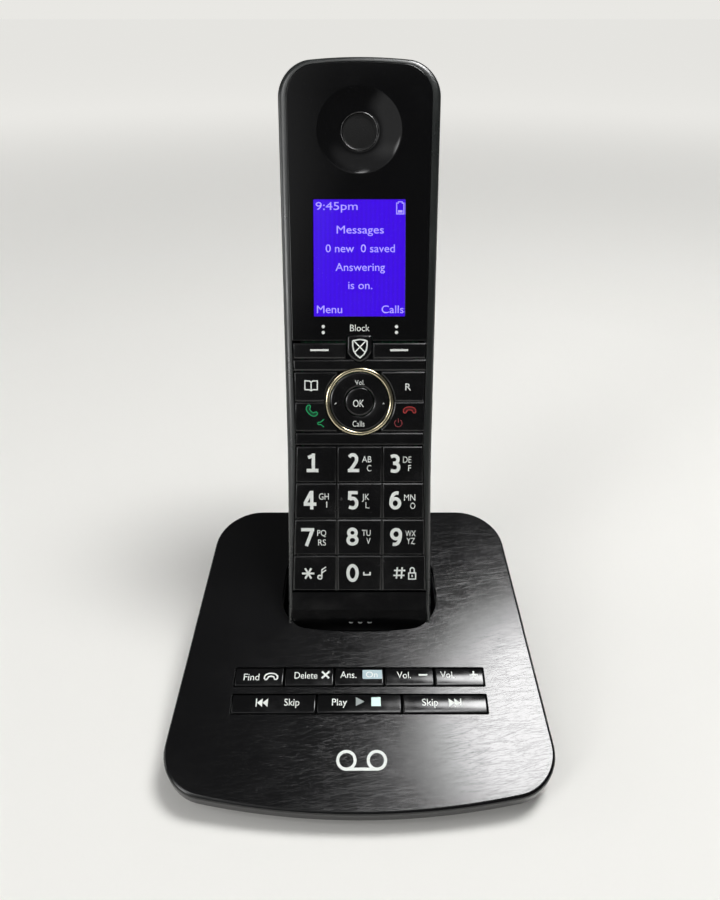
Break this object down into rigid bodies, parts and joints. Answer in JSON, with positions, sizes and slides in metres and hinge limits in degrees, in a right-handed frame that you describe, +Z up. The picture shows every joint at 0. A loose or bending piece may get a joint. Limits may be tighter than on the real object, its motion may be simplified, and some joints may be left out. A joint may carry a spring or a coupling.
{
  "type": "answering machine",
  "caption": "Cordless telephone handset with screen and keypad standing in the cradle of a wedge-shaped base with answering-machine buttons on its sloping deck.",
  "frame": {"origin": "centre of the footprint of the whole object on the table", "axes": "+Z up, +X to the right of a user facing the keys, -Y towards the user"},
  "size_m": [0.112, 0.1454, 0.1811],
  "materials": {
    "gloss_black": "gloss moulded, fine scuffs",
    "satin_black": "satin moulded",
    "key_black": "gloss moulded key caps",
    "lens_black": "polished, black-printed acrylic",
    "screen": "lit display",
    "chrome_ring": "warm bright plating",
    "moulded_white": "moulded",
    "silicone": "moulded silicone",
    "rubber_foot": "moulded rubber",
    "circuit_board": "solder mask",
    "metal_can": "pressed can",
    "cell_wrap": "shrink sleeve",
    "nickel": "nickel plated",
    "zinc_screw": "zinc plated",
    "socket_plastic": "moulded"
  },
  "bodies": {
    "base": {"base_top_cover": "gloss_black", "base_bottom_cover": "satin_black", "cradle_cup": "satin_black", "base_pcb": "circuit_board", "button_board": "circuit_board", "base_button_mat": "silicone", "base_speaker": "metal_can", "power_socket": "socket_plastic", "line_socket": "socket_plastic", "base_feet": "rubber_foot", "base_screws": "zinc_screw"},
    "handset": {"handset_front_cover": "gloss_black", "handset_rear_cover": "satin_black", "handset_lens": "lens_black", "display_module": "screen", "earpiece_cap": "satin_black", "nav_ring": "chrome_ring", "keymat": "silicone", "handset_pcb": "circuit_board", "receiver": "metal_can", "microphone": "metal_can", "ringer_speaker": "metal_can", "battery_cells": "cell_wrap", "battery_contacts": "nickel", "handset_charge_pads": "nickel", "handset_screws": "zinc_screw"},
    "battery_cover": {"battery_cover": "satin_black"},
    "key_1": {"key_1": "key_black"},
    "key_2": {"key_2": "key_black"},
    "key_3": {"key_3": "key_black"},
    "key_4": {"key_4": "key_black"},
    "key_5": {"key_5": "key_black"},
    "key_6": {"key_6": "key_black"},
    "key_7": {"key_7": "key_black"},
    "key_8": {"key_8": "key_black"},
    "key_9": {"key_9": "key_black"},
    "key_0": {"key_0": "key_black"},
    "key_star": {"key_star": "key_black"},
    "key_hash": {"key_hash": "key_black"},
    "softkey_left": {"softkey_left": "key_black"},
    "softkey_right": {"softkey_right": "key_black"},
    "block_key": {"block_key": "key_black"},
    "book_key": {"book_key": "key_black"},
    "recall_key": {"recall_key": "key_black"},
    "call_key": {"call_key": "key_black"},
    "end_key": {"end_key": "key_black"},
    "ok_key": {"ok_key": "key_black"},
    "nav_spreader": {"nav_spreader": "moulded_white"},
    "nav_rocker": {"nav_rocker": "key_black"},
    "find_button": {"find_button": "key_black"},
    "delete_button": {"delete_button": "key_black"},
    "answer_button": {"answer_button": "key_black"},
    "volume_down_button": {"volume_down_button": "key_black"},
    "volume_up_button": {"volume_up_button": "key_black"},
    "skip_back_button": {"skip_back_button": "key_black"},
    "play_stop_button": {"play_stop_button": "key_black"},
    "skip_forward_button": {"skip_forward_button": "key_black"},
    "charge_contact_left": {"charge_contact_left": "nickel"},
    "charge_contact_right": {"charge_contact_right": "nickel"}
  },
  "joints": [
    {"name": "handset_lift", "type": "slide", "parent": "base", "child": "handset", "axis": [0, 0.4226, 0.9063], "range_m": [0, 0.06]},
    {"name": "battery_cover_lift", "type": "slide", "parent": "handset", "child": "battery_cover", "axis": [0, 0.9063, -0.4226], "range_m": [0, 0.006]},
    {"name": "key_1_press", "type": "slide", "parent": "handset", "child": "key_1", "axis": [0, 0.9063, -0.4226], "range_m": [0, 0.0005], "stiffness_N_per_m": 300, "springref_m": -0.001},
    {"name": "key_2_press", "type": "slide", "parent": "handset", "child": "key_2", "axis": [0, 0.9063, -0.4226], "range_m": [0, 0.0005], "stiffness_N_per_m": 300, "springref_m": -0.001},
    {"name": "key_3_press", "type": "slide", "parent": "handset", "child": "key_3", "axis": [0, 0.9063, -0.4226], "range_m": [0, 0.0005], "stiffness_N_per_m": 300, "springref_m": -0.001},
    {"name": "key_4_press", "type": "slide", "parent": "handset", "child": "key_4", "axis": [0, 0.9063, -0.4226], "range_m": [0, 0.0005], "stiffness_N_per_m": 300, "springref_m": -0.001},
    {"name": "key_5_press", "type": "slide", "parent": "handset", "child": "key_5", "axis": [0, 0.9063, -0.4226], "range_m": [0, 0.0005], "stiffness_N_per_m": 300, "springref_m": -0.001},
    {"name": "key_6_press", "type": "slide", "parent": "handset", "child": "key_6", "axis": [0, 0.9063, -0.4226], "range_m": [0, 0.0005], "stiffness_N_per_m": 300, "springref_m": -0.001},
    {"name": "key_7_press", "type": "slide", "parent": "handset", "child": "key_7", "axis": [0, 0.9063, -0.4226], "range_m": [0, 0.0005], "stiffness_N_per_m": 300, "springref_m": -0.001},
    {"name": "key_8_press", "type": "slide", "parent": "handset", "child": "key_8", "axis": [0, 0.9063, -0.4226], "range_m": [0, 0.0005], "stiffness_N_per_m": 300, "springref_m": -0.001},
    {"name": "key_9_press", "type": "slide", "parent": "handset", "child": "key_9", "axis": [0, 0.9063, -0.4226], "range_m": [0, 0.0005], "stiffness_N_per_m": 300, "springref_m": -0.001},
    {"name": "key_0_press", "type": "slide", "parent": "handset", "child": "key_0", "axis": [0, 0.9063, -0.4226], "range_m": [0, 0.0005], "stiffness_N_per_m": 300, "springref_m": -0.001},
    {"name": "key_star_press", "type": "slide", "parent": "handset", "child": "key_star", "axis": [0, 0.9063, -0.4226], "range_m": [0, 0.0005], "stiffness_N_per_m": 300, "springref_m": -0.001},
    {"name": "key_hash_press", "type": "slide", "parent": "handset", "child": "key_hash", "axis": [0, 0.9063, -0.4226], "range_m": [0, 0.0005], "stiffness_N_per_m": 300, "springref_m": -0.001},
    {"name": "softkey_left_press", "type": "slide", "parent": "handset", "child": "softkey_left", "axis": [0, 0.9063, -0.4226], "range_m": [0, 0.0005], "stiffness_N_per_m": 300, "springref_m": -0.001},
    {"name": "softkey_right_press", "type": "slide", "parent": "handset", "child": "softkey_right", "axis": [0, 0.9063, -0.4226], "range_m": [0, 0.0005], "stiffness_N_per_m": 300, "springref_m": -0.001},
    {"name": "block_key_press", "type": "slide", "parent": "handset", "child": "block_key", "axis": [0, 0.9063, -0.4226], "range_m": [0, 0.0005], "stiffness_N_per_m": 300, "springref_m": -0.001},
    {"name": "book_key_press", "type": "slide", "parent": "handset", "child": "book_key", "axis": [0, 0.9063, -0.4226], "range_m": [0, 0.0005], "stiffness_N_per_m": 300, "springref_m": -0.001},
    {"name": "recall_key_press", "type": "slide", "parent": "handset", "child": "recall_key", "axis": [0, 0.9063, -0.4226], "range_m": [0, 0.0005], "stiffness_N_per_m": 300, "springref_m": -0.001},
    {"name": "call_key_press", "type": "slide", "parent": "handset", "child": "call_key", "axis": [0, 0.9063, -0.4226], "range_m": [0, 0.0005], "stiffness_N_per_m": 300, "springref_m": -0.001},
    {"name": "end_key_press", "type": "slide", "parent": "handset", "child": "end_key", "axis": [0, 0.9063, -0.4226], "range_m": [0, 0.0005], "stiffness_N_per_m": 300, "springref_m": -0.001},
    {"name": "ok_key_press", "type": "slide", "parent": "handset", "child": "ok_key", "axis": [0, 0.9063, -0.4226], "range_m": [0, 0.0005], "stiffness_N_per_m": 300, "springref_m": -0.001},
    {"name": "rocker_up_down", "type": "hinge", "parent": "handset", "child": "nav_spreader", "pos_m": [0, 0.01345, 0.08787], "axis": [1, 0, 0], "range_deg": [-2, 2], "stiffness_Nm_per_rad": 0.05},
    {"name": "rocker_left_right", "type": "hinge", "parent": "nav_spreader", "child": "nav_rocker", "pos_m": [0, 0.01345, 0.08787], "axis": [0, 0.4226, 0.9063], "range_deg": [-2, 2], "stiffness_Nm_per_rad": 0.05},
    {"name": "find_button_press", "type": "slide", "parent": "base", "child": "find_button", "axis": [0, 0.2588, -0.9659], "range_m": [0, 0.0006], "stiffness_N_per_m": 400, "springref_m": -0.001},
    {"name": "delete_button_press", "type": "slide", "parent": "base", "child": "delete_button", "axis": [0, 0.2588, -0.9659], "range_m": [0, 0.0006], "stiffness_N_per_m": 400, "springref_m": -0.001},
    {"name": "answer_button_press", "type": "slide", "parent": "base", "child": "answer_button", "axis": [0, 0.2588, -0.9659], "range_m": [0, 0.0006], "stiffness_N_per_m": 400, "springref_m": -0.001},
    {"name": "volume_down_button_press", "type": "slide", "parent": "base", "child": "volume_down_button", "axis": [0, 0.2588, -0.9659], "range_m": [0, 0.0006], "stiffness_N_per_m": 400, "springref_m": -0.001},
    {"name": "volume_up_button_press", "type": "slide", "parent": "base", "child": "volume_up_button", "axis": [0, 0.2588, -0.9659], "range_m": [0, 0.0006], "stiffness_N_per_m": 400, "springref_m": -0.001},
    {"name": "skip_back_button_press", "type": "slide", "parent": "base", "child": "skip_back_button", "axis": [0, 0.2588, -0.9659], "range_m": [0, 0.0006], "stiffness_N_per_m": 400, "springref_m": -0.001},
    {"name": "play_stop_button_press", "type": "slide", "parent": "base", "child": "play_stop_button", "axis": [0, 0.2588, -0.9659], "range_m": [0, 0.0006], "stiffness_N_per_m": 400, "springref_m": -0.001},
    {"name": "skip_forward_button_press", "type": "slide", "parent": "base", "child": "skip_forward_button", "axis": [0, 0.2588, -0.9659], "range_m": [0, 0.0006], "stiffness_N_per_m": 400, "springref_m": -0.001},
    {"name": "charge_contact_left_spring", "type": "slide", "parent": "base", "child": "charge_contact_left", "axis": [0, -0.4226, -0.9063], "range_m": [0, 0.0006], "stiffness_N_per_m": 300, "springref_m": -0.001},
    {"name": "charge_contact_right_spring", "type": "slide", "parent": "base", "child": "charge_contact_right", "axis": [0, -0.4226, -0.9063], "range_m": [0, 0.0006], "stiffness_N_per_m": 300, "springref_m": -0.001}
  ]
}
